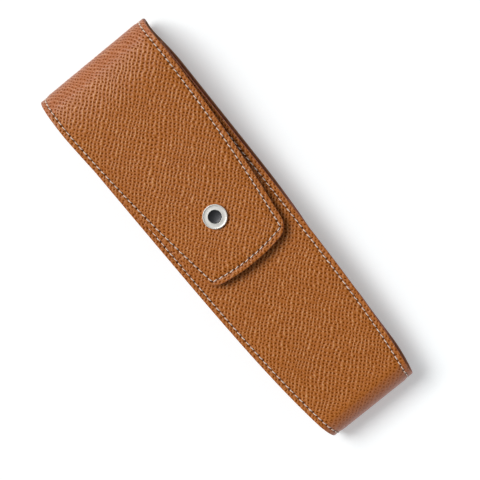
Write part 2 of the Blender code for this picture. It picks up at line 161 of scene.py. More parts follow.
def halfWidth(run):
    fromTop = case["length"] / 2 - pathPoints(run)[0][..., 1]
    onFlap = case["topWidth"] / 2 - flap["taper"] * (fromTop / flap["length"]) ** 2
    down = fromTop / case["length"]
    onBody = case["topWidth"] / 2 - case["sideTaper"] * down - case["endSweep"] * down ** case["sweepPower"]
    onBack = smooth(onPart(run, "bottomFold")) * (1 - smooth(onPart(run, "backFold")))
    inWaist = onStretch(run, case["insetStart"], case["insetEnd"])
    onBody = onBody - case["backInset"] * onBack - case["waistInset"] * inWaist
    pastBottom = run > bottomEnd
    beforeSpine = smooth(between(run, spineMiddle, path["backFold"]["start"]))
    nipped = smooth(between(fromTop, *case["nipRun"])) * beforeSpine * pastBottom
    onBody = onBody - case["topNip"] * nipped
    drawn = case["topDraw"] * (1 - smooth(fromTop / case["drawRun"])) * pastBottom
    return np.where(run > spineMiddle, onFlap, onBody) - drawn


def outerPoints(run, x):
    # Points of the smooth outer surface: the waist of the back and the crown of the flap lie inside the path
    point, angle = pathPoints(run)
    edge = halfWidth(run)
    foldMiddle = path["frontFold"]["start"] + case["frontFold"] * pi / 4
    grown = smooth(between(run, foldMiddle, path["crown"]["start"] + flap["crownRun"]))
    crowned = flap["crown"] * grown * (x / edge) ** 2
    pastKeel = np.maximum(np.abs(x) - case["waistKeel"], 0) / (edge - case["waistKeel"])
    waisted = case["waistRise"] * onStretch(run, case["waistStart"], case["waistEnd"]) * pastKeel ** 2
    inside = np.where(run > spineMiddle, crowned, waisted)
    point = point - inside[..., None] * normalAt(angle)
    point[..., 0] += x
    return point


def sheetPoints(run, x, depth):
    # Points at this depth under the outer surface, square to it
    run, x, depth = np.broadcast_arrays(np.asarray(run, float), x, depth)
    probe = 1e-5
    along = outerPoints(run + probe, x) - outerPoints(run - probe, x)
    across = outerPoints(run, x + probe) - outerPoints(run, x - probe)
    normal = np.cross(along, across)
    normal /= np.linalg.norm(normal, axis=-1, keepdims=True)
    return outerPoints(run, x) - depth[..., None] * normal


# The seam, and distances in from the edge of the leather and from the stitch holes

seam = {"inset": 0.00205, "endInset": 0.0023, "pitch": 0.0024}
flapEndHalf = float(halfWidth(np.array(flapEnd)))


def endLine(x):
    return flapEnd - flap["endBow"] * (x / flapEndHalf) ** 2


def sharpEdge(run, x):
    # Distance to the nearest of the sides, the mouth and the flap's end, with square corners
    return np.minimum(halfWidth(run) - np.abs(x), np.minimum(run, endLine(x) - run))


def roundEdge(run, x):
    # The same with the flap's two corners rounded
    radius = flap["cornerRadius"]
    into = radius - (halfWidth(run) - np.abs(x))
    down = radius - (endLine(x) - run)
    inCorner = (into > 0) & (down > 0)
    return np.where(inCorner, radius - np.hypot(into, down), sharpEdge(run, x))


# Where the flap's side seams meet its end seam
seamLast = flapEnd
for _ in range(40):
    seamCornerX = float(halfWidth(np.array(seamLast))) - seam["inset"]
    seamLast = float(endLine(seamCornerX)) - seam["endInset"]
seamCount = round((seamLast - seam["inset"]) / seam["pitch"])
sidePitch = (seamLast - seam["inset"]) / seamCount
mouthHalf = float(halfWidth(np.array(seam["inset"]))) - seam["inset"]
mouthCount = round(2 * mouthHalf / seam["pitch"])
endCount = round(2 * seamCornerX / seam["pitch"])


def holeDistance(run, x):
    # Distance to the nearest stitch hole: along the two sides, the mouth and the flap's end
    rows = (
        (run - seam["inset"], sidePitch, seamCount, halfWidth(run) - np.abs(x) - seam["inset"]),
        (x + mouthHalf, 2 * mouthHalf / mouthCount, mouthCount, run - seam["inset"]),
        (x + seamCornerX, 2 * seamCornerX / endCount, endCount, endLine(x) - run - seam["endInset"]),
    )
    distances = []
    for along, pitch, count, away in rows:
        nearest = np.clip(np.round(along / pitch), 0, count) * pitch
        distances.append(np.hypot(along - nearest, away))
    return np.minimum.reduce(distances)


# Pressed grain: round pits in rows that rise to the right, with a ridge between rows. Sizes in millimetres
grain = {
    "alongRow": (1.0, -0.92), "nextRow": (0.87, 1.15), "jitter": 0.26, "wander": 0.46,
    "pitRadius": 0.35, "pitDepth": 0.19, "ridgeHeight": 0.09, "ridgeWidth": 0.155,
    "wholeRidge": 0.60, "ridgeChange": 0.45, "ridgeBreak": 0.4, "leastRidge": 0.05,  # shares of a ridge
    "shortWave": 6, "longerBy": 4, "waveSize": 0.6, "waveChange": 0.4, "evenOut": 4, "spread": 0.6,
    "crossFrom": 3.0, "crossTo": 8.5, "repeat": 509, "seed": 11,
}
grainTable = np.random.default_rng(grain["seed"]).uniform(-1, 1, (3, grain["repeat"], grain["repeat"]))
wanderTable = np.random.default_rng(grain["seed"] + 1).uniform(-1, 1, (2, 7, 3))


def wanderAt(a, b, which):
    # Slow sideways drift of the rows: a sum of waves 6 to 30 mm long
    total = 0
    for order, (turn, phase, size) in enumerate(wanderTable[which]):
        wave = 2 * pi / (grain["shortWave"] + grain["longerBy"] * order)
        reach = a * cos(turn * pi) + b * sin(turn * pi)
        size = sqrt(order + 1) * (grain["waveSize"] + grain["waveChange"] * size)
        total = total + size * np.sin(wave * reach + phase * pi)
    return total / grain["evenOut"]


def latticeOffset(offP, offQ):
    # Millimetres across and along the strip for a step on the grain's lattice
    (rowX, rowRun), (nextX, nextRun) = grain["alongRow"], grain["nextRow"]
    return offP * rowX + offQ * nextX, offP * rowRun + offQ * nextRun


def grainAt(run, x):
    # Place on the grain's own lattice, with a pit at every whole number, and how strong the ridges are there
    a, b = x / mm, run / mm
    drift, repeat = grain["wander"], grain["repeat"]
    a, b = a + drift * wanderAt(a, b, 0), b + drift * wanderAt(a, b, 1)
    (rowX, rowRun), (nextX, nextRun) = grain["alongRow"], grain["nextRow"]
    area = rowX * nextRun - nextX * rowRun
    p, q = (a * nextRun - b * nextX) / area, (b * rowX - a * rowRun) / area
    total, weight = np.zeros((3,) + p.shape), np.full_like(p, 1e-6)
    for stepP in (-1, 0, 1):
        for stepQ in (-1, 0, 1):
            cellP, cellQ = np.round(p) + stepP, np.round(q) + stepQ
            offX, offRun = latticeOffset(p - cellP, q - cellQ)
            around = np.exp(-(offX ** 2 + offRun ** 2) / grain["spread"])
            total += grainTable[:, cellP.astype(int) % repeat, cellQ.astype(int) % repeat] * around
            weight += around
    moveP, moveQ, lift = total / weight
    lift = grain["wholeRidge"] + grain["ridgeChange"] * lift
    return p - grain["jitter"] * moveP, q - grain["jitter"] * moveQ, lift


def crossedAt(run):
    # Over the top end the leather is stretched the other way, and the cross rows stand out there
    crossStart = path["crown"]["start"] + grain["crossFrom"] * mm
    crossed = smooth(between(run, crossStart, path["frontFold"]["start"] + grain["crossTo"] * mm))
    return crossed * smooth(onPart(run, "backFold"))


def pitsAndRidges(p, q, lift, crossed):
    offP, offQ = p - np.round(p), q - np.round(q)
    pits = bell(np.hypot(*latticeOffset(offP, offQ)) / grain["pitRadius"])

    def ridgesOn(across, along):
        broken = np.clip(lift + grain["ridgeBreak"] * np.cos(2 * pi * along), grain["leastRidge"], 1)
        return broken * bell((0.5 - np.abs(across)) / grain["ridgeWidth"])

    return pits, ridgesOn(offQ, offP) * (1 - crossed) + ridgesOn(offP, offQ) * crossed


# Outer leather, in three lengths: front, back and flap
leather = {
    "edgeRound": 0.00042, "edgeDepth": 0.00036, "borderSink": 0.00022, "boardEdge": (0.0026, 0.0042),
    "grooveDepth": 0.00013, "grooveWidth": 0.00034, "pucker": 0.00009, "puckerRadius": 0.0007,
    "holeDepth": 0.00035, "holeRadius": 0.00040, "ringSink": 0.00014, "ringRadius": 0.0046, "sinkRun": 0.0009,
    # Where the grain grows to its full depth: distances from the bottom and the edge, and how flat the path lies
    "ridgesFrom": (0.0050, 0.0125), "pitsFrom": (0.0, 0.0080), "insideSeam": (0.0020, 0.0034),
    "looseFrom": (0.93, 0.998), "pressRun": 0.0006, "underRing": 0.3,
    # Shares of the grain that are left on the border, at the bottom and where it is stretched over a fold
    "ridgesLeft": (0.65, 0.10, 0.85), "pitsLeft": (0.92, 0.6, 0.78),
    "columnsAcross": 140, "innerColumns": 12, "rowSteps": (0.00036, 0.00038, 0.00027),
}
strip = {
    "plainColumns": 36, "innerSteps": 5, "edgeLayers": (0.35, 0.7), "underRound": 0.00008, "underRun": 0.00015,
    "paintRun": 0.00016,  # how far the edge paint reaches on to both faces
}
edgeSteps = np.array([
    0, 0.02, 0.08, 0.17, 0.3, 0.46, 0.66, 0.9, 1.15, 1.4, 1.6, 1.78, 1.93, 2.06, 2.2, 2.36, 2.55, 2.8, 3.1, 3.45,
]) * mm


def leatherFaces(run, x):
    # Depths of the finished outer face and of the inner one, and what the leather's material needs to know there
    edge, square = np.maximum(roundEdge(run, x), 0), sharpEdge(run, x)
    turnedDown = np.clip(1 - edge / leather["edgeRound"], 0, 1)
    depth = leather["edgeDepth"] * (1 - np.sqrt(1 - turnedDown ** 2))
    depth += leather["borderSink"] * (1 - smooth(between(square, *leather["boardEdge"])))
    holes = holeDistance(run, x)
    # The stitch hole's shape: it sinks a dimple, and the material paints shade into each hole with it
    hole = bell(holes / leather["holeRadius"])
    depth += leather["grooveDepth"] * bell((square - seam["inset"]) / leather["grooveWidth"])
    depth += leather["pucker"] * bell(holes / leather["puckerRadius"]) + leather["holeDepth"] * hole
    pastRing = np.maximum(np.hypot(run - snapRun, x) - leather["ringRadius"], 0)
    depth += leather["ringSink"] * bell(pastRing / leather["sinkRun"])
    p, q, lift = grainAt(run, x)
    crossed = crossedAt(run)
    pits, ridges = pitsAndRidges(p, q, lift, crossed)
    fromBottom = np.abs(run - bottomMiddle) - (bottomEnd - bottomMiddle) + case["bottomFold"]
    facing = np.abs(np.sin(pathPoints(run)[1]))
    inner = smooth(between(square, *leather["insideSeam"]))
    loose = smooth(between(facing, *leather["looseFrom"]))
    ridgeAmount, pitAmount = (
        fade(onBorder, inner) * fade(atBottom, smooth(between(fromBottom, *grown))) * fade(onFold, loose)
        for (onBorder, atBottom, onFold), grown in (
            (leather["ridgesLeft"], leather["ridgesFrom"]), (leather["pitsLeft"], leather["pitsFrom"]),
        )
    )
    relief = grain["ridgeHeight"] * (1 - ridges) * ridgeAmount + grain["pitDepth"] * pits * pitAmount
    clear = fade(leather["underRing"], 1 - bell(pastRing / leather["pressRun"]))
    depth += relief * mm * smooth(edge / leather["edgeRound"]) * clear
    fields = {
        "lattice": np.stack([p, q, lift], axis=-1), "hole": hole,
        "amount": np.stack([ridgeAmount, pitAmount, crossed], axis=-1), "facing": facing,
    }
    return depth, np.full_like(run, layers["leather"]), fields


def selectOnly(obj):
    for other in bpy.context.selected_objects:
        other.select_set(False)
    obj.select_set(True)
    bpy.context.view_layer.objects.active = obj


def startPiece(name, adding, **settings):
    adding(**settings)
    obj = bpy.context.object
    obj.name = obj.data.name = name
    return obj


def addObject(name, data):
    obj = bpy.data.objects.new(name, data)
    bpy.context.scene.collection.objects.link(obj)
    return obj


def applyModifier(obj, kind, **settings):
    modifier = obj.modifiers.new(kind, kind)
    for name, value in settings.items():
        setattr(modifier, name, value)
    bpy.ops.object.modifier_apply(modifier=kind)


def startEdit():
    bpy.ops.object.mode_set(mode="EDIT")
    bpy.ops.mesh.select_all(action="SELECT")


def endEdit():
    # Back from edit mode with every face turned outwards
    bpy.ops.mesh.select_all(action="SELECT")
    bpy.ops.mesh.normals_make_consistent(inside=False)
    bpy.ops.object.mode_set(mode="OBJECT")


def addMesh(name, points, edges, faces):
    # A piece from points that are worked out in full, alone selected
    mesh = bpy.data.meshes.new(name)
    mesh.from_pydata(points, edges, faces)
    obj = addObject(name, mesh)
    selectOnly(obj)
    return obj


def readPoints(mesh):
    points = np.zeros(len(mesh.vertices) * 3)
    mesh.vertices.foreach_get("co", points)
    return points.reshape(-1, 3)


def writePoints(mesh, points):
    mesh.vertices.foreach_set("co", points.astype(np.float32).ravel())


def faceCorners(mesh):
    corners = np.zeros(len(mesh.loops), int)
    mesh.loops.foreach_get("vertex_index", corners)
    return corners


def gridPiece(name, rowCount, columnCount):
    # A grid, and the row and column of each of its vertices
    obj = startPiece(
        name, bpy.ops.mesh.primitive_grid_add, x_subdivisions=columnCount - 1, y_subdivisions=rowCount - 1, size=2,
    )
    shares = (readPoints(obj.data)[:, :2] + 1) / 2
    column, row = np.round(shares * (columnCount - 1, rowCount - 1)).astype(int).T
    return obj, row, column


def writeAttribute(mesh, name, values):
    values = np.asarray(values, np.float32)
    kind, key = ("FLOAT_VECTOR", "vector") if values.ndim > 1 else ("FLOAT", "value")
    mesh.attributes.new(name, kind, "POINT").data.foreach_set(key, values.ravel())


def writeUv(mesh, u, v):
    corners = faceCorners(mesh)
    layer = mesh.uv_layers.active or mesh.uv_layers.new(name="UVMap")
    layer.data.foreach_set("uv", np.stack([u[corners], v[corners]], axis=-1).ravel())


def ringColumns(dense, denseInside):
    # One turn round the strip's section: x is slope * half width + offset. layer 0 is the outer face, 1 the
    # inner one, and between them lies the cut edge
    inside = edgeSteps[::1 if denseInside else strip["innerSteps"]]
    outerCount = leather["columnsAcross"] if dense else strip["plainColumns"]
    innerCount = leather["innerColumns"] if dense else strip["plainColumns"]
    columns = []
    for side, steps, count, face in ((-1, edgeSteps, outerCount, 0), (1, inside, innerCount, 1)):
        columns += [(side, -side * step, face) for step in steps]
        columns += [(share, -share * steps[-1], face) for share in np.linspace(side, -side, count + 2)[1:-1]]
        columns += [(-side, side * step, face) for step in steps[::-1]]
        columns += [(-side, 0, layer) for layer in strip["edgeLayers"][::-side]]
    return np.array(columns).T


def layStrip(name, rows, faces, dense=True, denseInside=False, endShaped=False):
    # A closed length of strip: faces(run, x) gives the depths of its two faces and the material's fields
    slopes, offsets, layersRound = ringColumns(dense, denseInside)
    count = len(slopes)
    obj, row, column = gridPiece(name, len(rows), count + 1)
    column = column % count
    run, layer = rows[row], layersRound[column]
    width = halfWidth(run)
    x = slopes[column] * width + offsets[column]
    if endShaped:
        share = x / width
        radius = flap["cornerRadius"]
        into = np.maximum(np.abs(share) - 1 + radius / flapEndHalf, 0) / (radius / flapEndHalf)
        backOff = flap["endBow"] * share ** 2 + radius * (1 - np.sqrt(np.maximum(1 - into ** 2, 0)))
        bendStart = flapEnd - (flapEnd - path["flap"]["start"]) / 3
        run = run - backOff * np.maximum(between(run, bendStart, flapEnd), 0)
        x = share * halfWidth(run)
    upper, under, fields = faces(run, x)
    edge = np.maximum(roundEdge(run, x), 0)
    under = under - strip["underRound"] * (1 - smooth(edge / strip["underRun"]))
    mesh = obj.data
    writePoints(mesh, sheetPoints(run, x, upper + (under - upper) * layer))
    for field, values in fields.items():
        writeAttribute(mesh, field, (values.T * (layer == 0)).T)
    writeUv(mesh, (x + layer * mm) / mm, run / mm)
    painted = ((layer > 0) & (layer < 1)) | (edge < strip["paintRun"])
    onEdge = painted[faceCorners(mesh)].reshape(-1, 4).all(axis=1)
    mesh.polygons.foreach_set("material_index", onEdge.astype(int))
    startEdit()
    bpy.ops.mesh.remove_doubles(threshold=1e-7)
    bpy.ops.mesh.select_all(action="DESELECT")
    bpy.ops.mesh.select_mode(type="EDGE")
    bpy.ops.mesh.select_non_manifold(
        extend=False, use_wire=False, use_multi_face=False, use_non_contiguous=False, use_verts=False,
    )
    bpy.ops.mesh.fill(use_beauty=True)
    endEdit()
    bpy.ops.object.shade_smooth()
    print(" ", name, len(mesh.polygons))
    return obj


def evenRows(start, end, step):
    return np.linspace(start, end, max(round((end - start) / step), 1) + 1)


def stripRows(frontStep, backStep, flapStep):
    # Rows of the three lengths, closer together at the mouth and at the flap's end
    last = edgeSteps[-1]
    front = np.concatenate([edgeSteps[:-1], evenRows(last, bottomMiddle, frontStep)])
    back = evenRows(bottomMiddle, spineMiddle, backStep)
    return front, back, np.concatenate([evenRows(spineMiddle, flapEnd - last, flapStep), flapEnd - edgeSteps[-2::-1]])


print("leather: front, back and flap")
frontRows, backRows, flapRows = stripRows(*leather["rowSteps"])
frontLeather = layStrip("front_leather", frontRows, leatherFaces)
backLeather = layStrip("back_leather", backRows, leatherFaces)
flapLeather = layStrip("flap_leather", flapRows, leatherFaces, denseInside=True, endShaped=True)


# Linings: thin calf glued behind the boards, which meets the outer leather at the border
lining = {"rise": (0.0020, 0.0036), "overLeather": 0.00002, "rowSteps": (0.0011, 0.0010, 0.0010)}


def liningFaces(run, x):
    room = stack - layers["lining"]
    border = 1 - smooth(between(np.maximum(sharpEdge(run, x), 0), *lining["rise"]))
    top = room - (room - layers["leather"] - lining["overLeather"]) * border
    return top, top + layers["lining"], {}


print("linings")
frontRows, backRows, flapRows = stripRows(*lining["rowSteps"])
frontLining = layStrip("front_lining", frontRows, liningFaces, dense=False)
backLining = layStrip("back_lining", backRows, liningFaces, dense=False)
flapLining = layStrip("flap_inner_lining", flapRows, liningFaces, dense=False, endShaped=True)


# Side walls and divider: leather channels between front and back, their flanges sewn in with the edges
walls = {
    "setback": 0.0004, "depth": 0.0045, "bend": 0.0014, "top": 0.0015, "bow": 0.0011, "endTurn": 12,
    "underLining": 0.00003, "rowSteps": (0.0010, 0.0007),
}
pens = {
    "thickness": 0.0006, "flange": 0.005, "bend": 0.0012, "setback": 0.006, "foot": 0.006, "rowStep": 0.0015,
}
channel = {
    "flatTo": 0.72, "flatColumns": 8, "bendFrom": 0.8, "bendColumns": 6, "wallColumns": 10,  # shares of a flange
    "fullBowGap": 0.018, "columnWidth": 0.9, "edgeBevel": 0.3,
}


def facingRun(run):
    # Run on the back behind this run on the front, or behind it in the bottom fold
    radius = case["bottomFold"]
    turned = np.minimum((run - bottomStart) / radius * pi / (pi - frontSlope), pi)
    return np.where(run <= bottomStart, bottomEnd + bottomStart - run, bottomEnd - turned * radius)


def easeBetween(before, corner, after, bend):
    # Points of a rounded corner that starts and ends at the length bend from it
    start, end = (
        corner + way * (bend / np.linalg.norm(way, axis=-1))[:, None] for way in (before - corner, after - corner)
    )
    points = []
    for share in np.linspace(0, 1, channel["bendColumns"]):
        first, second = start + (corner - start) * share, corner + (end - corner) * share
        points.append(first + (second - first) * share)
    return points


def channelPiece(name, fronts, side, wallX, flangeX, wallDepth, thickness, bend, bow):
    backs = facingRun(fronts)
    wall = side * wallX(fronts, backs)

    def onFlange(runs, share):
        x = side * flangeX(runs) * (1 - share) + wall * share
        return sheetPoints(runs, x, wallDepth(runs, x))

    frontCorner, backCorner = onFlange(fronts, 1), onFlange(backs, 1)
    gap = np.linalg.norm(frontCorner - backCorner, axis=-1)
    bends = np.minimum(bend, gap / 3)
    flat = np.linspace(0, channel["flatTo"], channel["flatColumns"])
    columns = [onFlange(fronts, share) for share in flat]
    columns += easeBetween(onFlange(fronts, channel["bendFrom"]), frontCorner, backCorner, bends)
    turnOut = easeBetween(frontCorner, backCorner, onFlange(backs, channel["bendFrom"]), bends)
    wallTop = columns[-1]
    for share in np.linspace(0, 1, channel["wallColumns"])[1:-1]:
        inward = -side * bow * sin(share * pi) * np.minimum(gap / channel["fullBowGap"], 1)
        columns.append(wallTop + (turnOut[0] - wallTop) * share + inward[:, None] * np.array([1, 0, 0]))
    columns += turnOut + [onFlange(backs, share) for share in flat[::-1]]
    obj, row, column = gridPiece(name, len(fronts), len(columns))
    writePoints(obj.data, np.stack(columns)[column, row])
    writeUv(obj.data, column * channel["columnWidth"], fronts[row] / mm)
    if side < 0:
        startEdit()
        bpy.ops.mesh.flip_normals()
        bpy.ops.object.mode_set(mode="OBJECT")
    applyModifier(obj, "SOLIDIFY", thickness=thickness, offset=-1)
    applyModifier(obj, "BEVEL", width=thickness * channel["edgeBevel"], segments=2, angle_limit=radians(50))
    bpy.ops.object.shade_smooth_by_angle(angle=radians(40))
    return obj


print("side walls and divider")
wallEnd = bottomStart + case["bottomFold"] * (pi / 2 - radians(walls["endTurn"]))
wallFronts = np.concatenate([
    evenRows(walls["top"], bottomStart, walls["rowSteps"][0]),
    evenRows(bottomStart, wallEnd, walls["rowSteps"][1])[1:],
])
leftWall, rightWall = (
    channelPiece(
        name, wallFronts, side,
        lambda front, back: np.minimum(halfWidth(front), halfWidth(back)) - walls["depth"],
        lambda run: halfWidth(run) - walls["setback"],
        lambda run, x: liningFaces(run, x)[1] + walls["underLining"],
        layers["gusset"], walls["bend"], walls["bow"],
    )
    for name, side in (("left_side_wall", -1), ("right_side_wall", 1))
)
divider = channelPiece(
    "divider_wall", evenRows(pens["setback"], bottomStart - pens["foot"], pens["rowStep"]), 1,
    lambda front, back: np.full_like(front, -pens["thickness"] / 2),
    lambda run: np.full_like(run, pens["flange"]),
    lambda run, x: np.full_like(run, stack + layers["glue"]),
    pens["thickness"], pens["bend"], 0,
)


# Sewing thread: one dash is shaped, then laid from hole to hole along every seam
thread = {
    "radius": 0.00021, "sides": 7, "rings": 8, "endGirth": 0.62, "fullness": 0.6,
    "slant": 0.00014, "dive": 0.00060, "rise": 0.00009, "cover": 0.78, "uneven": 0.3, "thicker": 0.06,
    "overLining": 0.00002, "overWall": 0.00005, "seed": 5,
}


def dashTemplate():
    # A dash one unit long, fat in the middle and pointed where it dives into its holes
    rings, before = thread["rings"], thread["endGirth"]
    obj = startPiece(
        "dash", bpy.ops.mesh.primitive_circle_add, vertices=thread["sides"], radius=1, fill_type="NGON",
    )
    startEdit()
    bpy.ops.transform.resize(value=(before, before, before))
    for ring in range(1, rings + 1):
        girth = fade(thread["endGirth"], sin(ring / rings * pi) ** thread["fullness"])
        bpy.ops.mesh.extrude_region_move(TRANSFORM_OT_translate={"value": (0, 0, 1 / rings)})
        bpy.ops.transform.resize(value=(girth / before, girth / before, 1))
        before = girth
    endEdit()
    points = readPoints(obj.data)
    faces = [list(face.vertices) for face in obj.data.polygons]
    bpy.data.objects.remove(obj)
    return points, faces


dashPoints, dashFaces = dashTemplate()
chance = np.random.default_rng(thread["seed"])


def sewSeam(name, holes, level, inner=False):
    # holes: list of chains of (run, x) pairs. level: depth of the face that the thread lies on
    points, faces, along, around = [], [], [], []
    turn = np.arctan2(dashPoints[:, 1], dashPoints[:, 0])
    radial = np.hypot(dashPoints[:, 0], dashPoints[:, 1])
    share = dashPoints[:, 2]
    dive = thread["dive"] * np.abs(2 * share - 1) ** 4
    for chain in holes:
        for first, second in zip(chain[:-1], chain[1:]):
            step = second - first
            size = np.linalg.norm(step)
            square = np.array([-step[1], step[0]]) / size
            wobble, fat = chance.uniform(-1, 1, 2)
            sideways = (share - 0.5) * 2 * thread["slant"] * (1 + thread["uneven"] * wobble)
            radius = thread["radius"] * (1 + thread["thicker"] * fat)
            across = sideways + radius * radial * np.cos(turn)
            reach = 0.5 + (share - 0.5) * thread["cover"]
            place = first + np.outer(reach, step) + np.outer(across, square)
            up = thread["rise"] - dive + radius * radial * np.sin(turn)
            points.append(sheetPoints(place[:, 0], place[:, 1], level + up if inner else level - up))
            before = len(along) * len(dashPoints)
            faces += [[before + corner for corner in face] for face in dashFaces]
            along.append(share * size / mm)
            around.append(turn / (2 * pi))
    obj = addMesh(name, np.concatenate(points), [], faces)
    writeUv(obj.data, np.concatenate(along), np.concatenate(around))
    startEdit()
    endEdit()
    bpy.ops.object.shade_smooth()
    return obj


def sideSeams(firstHole, lastHole):
    runs = seam["inset"] + sidePitch * np.arange(firstHole, lastHole + 1)
    return [np.stack([runs, side * (halfWidth(runs) - seam["inset"])], axis=-1) for side in (-1, 1)]


print("sewing thread")
bottomHole = round((bottomMiddle - seam["inset"]) / sidePitch)
spineHole = round((spineMiddle - seam["inset"]) / sidePitch)
mouthX = np.linspace(-mouthHalf, mouthHalf, mouthCount + 1)
endX = np.linspace(-seamCornerX, seamCornerX, endCount + 1)
frontSeams = sideSeams(0, bottomHole) + [np.stack([np.full_like(mouthX, seam["inset"]), mouthX], axis=-1)]
backSeams = sideSeams(bottomHole, spineHole)
flapSeams = sideSeams(spineHole, seamCount) + [np.stack([endLine(endX) - seam["endInset"], endX], axis=-1)]
onSeam = leather["borderSink"] + leather["grooveDepth"]
insideFlap = layers["leather"] + layers["lining"] + thread["overLining"]
insideBody = layers["leather"] + layers["lining"] + layers["gusset"] + thread["overWall"]
seams = {"front": (frontSeams, insideBody), "back": (backSeams, insideBody), "flap": (flapSeams, insideFlap)}
threads = [sewSeam(part + "_thread", holes, onSeam) for part, (holes, level) in seams.items()]
threads += [sewSeam(part + "_inner_thread", holes, level, inner=True) for part, (holes, level) in seams.items()]


# Ring snap, turned about its own axis, with height 0 on the flap's outer surface. Sizes in millimetres
snap = {"steps": 96, "holeRadius": 3.3, "holeSides": 64, "cutLength": 6}
snapPoint = sheetPoints(np.array([snapRun]), np.array([0.0]), np.array([0.0]))[0]
snapPlace = Matrix.Translation(Vector(snapPoint)) @ Matrix.Rotation(frontSlope, 4, "X")


def arcPoints(middle, radius, start, end, count):
    turns = np.radians(np.linspace(start, end, count))
    return [(middle[0] + radius * cos(turn), middle[1] + radius * sin(turn)) for turn in turns]


def turnedPiece(name, profile, closed=True):
    # profile: (radius, height) pairs, down the outside and back up the inside
    points = [snapPlace @ Vector((radius * mm, 0, height * mm)) for radius, height in profile]
    pairs = [(place, place + 1) for place in range(len(points) - 1)]
    if closed:
        pairs.append((len(points) - 1, 0))
    obj = addMesh(name, points, pairs, [])
    startEdit()
    bpy.ops.mesh.spin(
        steps=snap["steps"], angle=2 * pi, center=snapPlace.translation,
        axis=(snapPlace.to_3x3() @ Vector((0, 0, 1))),
    )
    bpy.ops.mesh.select_all(action="SELECT")
    bpy.ops.mesh.remove_doubles(threshold=1e-6)
    endEdit()
    bpy.ops.object.shade_smooth_by_angle(angle=radians(35))
    return obj


print("ring snap")
ringProfile = (
    arcPoints((4.42, 0.815), 0.18, 90, 0, 7)  # outer rim, then the tube and its flare
    + [(4.6, 0.05), (3.15, 0.05), (3.15, -2.95), (3.6, -2.95), (3.6, -3.15), (2.75, -3.15), (2.75, -0.55)]
    + [(1.95, -0.55), (1.95, 0.10), (2.56, 0.10)]
    + arcPoints((2.66, 0.86), 0.10, 180, 90, 6)  # inner rim and the flat face
    + [(2.80, 0.95), (2.98, 0.935), (3.3, 0.93), (3.7, 0.93), (4.12, 0.935)]
    + arcPoints((4.28, 0.935), 0.06, 150, 95, 3)
)
studProfile = (
    [(1.05, -2.25)]  # head, neck and foot
    + arcPoints((1.85, -2.65), 0.40, 90, 0, 7) + arcPoints((1.85, -2.75), 0.40, 0, -80, 7)
    + [(1.90, -3.20), (1.90, -4.22)] + arcPoints((2.03, -4.22), 0.13, 180, 270, 4)
    + arcPoints((4.25, -4.50), 0.15, 90, 0, 5) + [(4.40, -4.65), (1.05, -4.65)]
)
socketProfile = (
    [(3.30, -2.55)] + arcPoints((4.78, -2.67), 0.12, 90, 0, 4)  # flange, cup and rolled lip
    + arcPoints((4.40, -3.55), 0.50, 0, -75, 8)
    + [(4.20, -4.07), (3.95, -4.03), (3.70, -4.03), (3.45, -4.08), (3.1, -4.13)]
    + arcPoints((2.70, -4.0), 0.15, -90, -180, 5) + [(2.55, -3.85), (3.70, -3.85), (3.70, -2.85), (3.30, -2.85)]
)
centreProfile = (
    [(0, 0.20), (0.7, 0.215), (1.4, 0.27), (2.0, 0.36), (2.3, 0.43)]  # dished face and its edge
    + arcPoints((2.40, 0.36), 0.08, 100, 0, 4) + [(2.48, 0.10), (0, 0.10)]
)
snapRing = turnedPiece("ring_face", ringProfile)
snapStud = turnedPiece("stud_turned", studProfile)
snapSocket = turnedPiece("socket_turned", socketProfile)
ringCentre = turnedPiece("ring_centre", centreProfile, closed=False)


def boreThrough(obj, cutMaterial):
    # The round hole that the ring's tube passes through
    cutter = startPiece(
        "tube_hole", bpy.ops.mesh.primitive_cylinder_add,
        vertices=snap["holeSides"], radius=snap["holeRadius"] * mm, depth=snap["cutLength"] * mm,
    )
    cutter.matrix_world = snapPlace
    cutter.data.materials.append(cutMaterial)
    selectOnly(obj)
    applyModifier(obj, "BOOLEAN", object=cutter, solver="MANIFOLD", material_mode="TRANSFER")
    bpy.data.objects.remove(cutter)
    print(" ", obj.name, "bored")


# Materials. UVs are in millimetres and Object coordinates in metres, so a scale of 0.1 there and one of 100
# here both make a pattern 10 mm wide

def hexColour(text):
    # sRGB hex to the linear colour that shaders take
    parts = [int(text[place:place + 2], 16) / 255 for place in (1, 3, 5)]
    return [part / 12.92 if part <= 0.04045 else ((part + 0.055) / 1.055) ** 2.4 for part in parts] + [1]


def feed(node, inputs):
    # Each input, by its name or in their order, takes a value, a hex colour or a link from the output given
    for name, source in inputs.items() if isinstance(inputs, dict) else enumerate(inputs):
        if isinstance(source, bpy.types.NodeSocket):
            node.id_data.links.new(source, node.inputs[name])
        else:
            node.inputs[name].default_value = hexColour(source) if isinstance(source, str) else source


def addNode(tree, kind, inputs=(), stops=(), give=None, **settings):
    # One node with its settings, its inputs and, on a colour ramp, its stops. It gives back the output of that
    # name, or else the first one in use
    node = tree.nodes.new("ShaderNode" + kind)
    for name, value in settings.items():
        setattr(node, name, value)
    feed(node, inputs)
    if stops:
        elements = node.color_ramp.elements
        while len(elements) < len(stops):
            elements.new(0.5)
        for element, (place, colour) in zip(elements, stops):
            element.position = place
            element.color = hexColour(colour)
    return node.outputs[give] if give else next(output for output in node.outputs if output.enabled)


def startMaterial(name, inputs):
    # A material, its shader and the way to add nodes to it
    material = bpy.data.materials.new(name)
    material.use_nodes = True
    shader = material.node_tree.nodes["Principled BSDF"]
    feed(shader, inputs)
    return material, shader, partial(addNode, material.node_tree)


eased = {"interpolation_type": "SMOOTHSTEP"}

# How dark or pale the grain's parts are, on a scale from 0 to 1. In the colour, the dark of a pit is partly
#  painted shade and the pale of a crest partly a painted highlight
tones = {
    "flat": 0.54, "betweenRidges": -0.08, "ridge": 0.46, "pit": -0.60, "ridgeBreak": 0.24, "speckle": 0.24,
    "pitEdge": (0.25, 1.45), "ridgeEdge": (1.35, 0.3),  # shares of the pit's radius and the ridge's width
}


